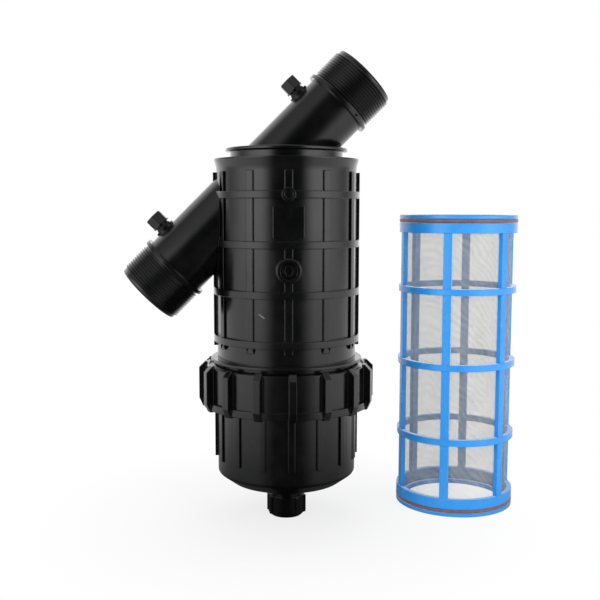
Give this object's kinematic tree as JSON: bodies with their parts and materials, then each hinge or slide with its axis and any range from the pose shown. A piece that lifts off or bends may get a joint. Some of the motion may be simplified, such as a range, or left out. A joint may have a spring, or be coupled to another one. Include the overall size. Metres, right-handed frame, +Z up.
{
  "type": "inline screen filter",
  "caption": "Y-pattern inline screen filter: ribbed black housing with coaxial 45 degree threaded ports, union nut, bowl and drain cap, and its mesh cartridge beside it.",
  "frame": {"origin": "centre of the drain cap's underside, on the vessel's axis", "axes": "+Z up the vessel's axis, +X towards the side that the inlet port leans to and the cartridge stands on, -Y out of the front, where the gauge boss is"},
  "size_m": [0.3424, 0.1596, 0.3941],
  "materials": {
    "black_plastic": "satin moulded polypropylene",
    "black_rubber": "matte",
    "maroon_rubber": "matte",
    "blue_plastic": "glossy moulded plastic",
    "woven_screen": "fine woven screen cloth"
  },
  "bodies": {
    "housing": {"housing_body": "black_plastic"},
    "bowl": {"bowl": "black_plastic", "housing_o_ring": "black_rubber"},
    "nut": {"union_nut": "black_plastic"},
    "drain_gasket": {"drain_gasket": "black_rubber"},
    "drain_cap": {"drain_cap": "black_plastic"},
    "inlet_plug_seal": {"inlet_plug_o_ring": "black_rubber"},
    "inlet_plug": {"inlet_test_plug": "black_plastic"},
    "outlet_plug_seal": {"outlet_plug_o_ring": "black_rubber"},
    "outlet_plug": {"outlet_test_plug": "black_plastic"},
    "gauge_plug_seal": {"gauge_plug_o_ring": "black_rubber"},
    "gauge_plug": {"gauge_port_plug": "black_plastic"},
    "cartridge": {"cartridge_cage": "blue_plastic", "mesh_screen": "woven_screen", "cartridge_top_o_ring": "maroon_rubber", "cartridge_bottom_o_ring": "maroon_rubber"}
  },
  "joints": [
    {"name": "union_travel", "type": "slide", "parent": "housing", "child": "bowl", "axis": [0, 0, -1], "range_m": [0, 0.024]},
    {"name": "union_turn", "type": "hinge", "parent": "bowl", "child": "nut", "pos_m": [0, 0, 0.1032], "axis": [0, 0, -1], "range_deg": [0, 1440]},
    {"name": "drain_travel", "type": "slide", "parent": "bowl", "child": "drain_gasket", "axis": [0, 0, -1], "range_m": [0, 0.0127]},
    {"name": "drain_turn", "type": "hinge", "parent": "drain_gasket", "child": "drain_cap", "pos_m": [0, 0, 0], "axis": [0, 0, -1], "range_deg": [0, 2520]},
    {"name": "inlet_plug_travel", "type": "slide", "parent": "housing", "child": "inlet_plug_seal", "axis": [-0.7071, 0, 0.7071], "range_m": [0, 0.00544]},
    {"name": "inlet_plug_turn", "type": "hinge", "parent": "inlet_plug_seal", "child": "inlet_plug", "pos_m": [0.00948, 0, 0.36021], "axis": [-0.7071, 0, 0.7071], "range_deg": [0, 2160]},
    {"name": "outlet_plug_travel", "type": "slide", "parent": "housing", "child": "outlet_plug_seal", "axis": [-0.7071, 0, 0.7071], "range_m": [0, 0.00544]},
    {"name": "outlet_plug_turn", "type": "hinge", "parent": "outlet_plug_seal", "child": "outlet_plug", "pos_m": [-0.10246, 0, 0.24828], "axis": [-0.7071, 0, 0.7071], "range_deg": [0, 2160]},
    {"name": "gauge_plug_travel", "type": "slide", "parent": "housing", "child": "gauge_plug_seal", "axis": [0, -1, 0], "range_m": [0, 0.00535]},
    {"name": "gauge_plug_turn", "type": "hinge", "parent": "gauge_plug_seal", "child": "gauge_plug", "pos_m": [0, -0.0649, 0.21585], "axis": [0, -1, 0], "range_deg": [0, 1440]},
    {"name": "cartridge_lift", "type": "slide", "parent": "housing", "child": "cartridge", "axis": [0, 0, 1], "range_m": [0, 0.3]}
  ],
  "couplings": [
    {"joint": "union_travel", "follows": "union_turn", "m_per_rad": 0.00095493},
    {"joint": "drain_travel", "follows": "drain_turn", "m_per_rad": 0.00028871},
    {"joint": "inlet_plug_travel", "follows": "inlet_plug_turn", "m_per_rad": 0.00014435},
    {"joint": "outlet_plug_travel", "follows": "outlet_plug_turn", "m_per_rad": 0.00014435},
    {"joint": "gauge_plug_travel", "follows": "gauge_plug_turn", "m_per_rad": 0.00021279}
  ]
}
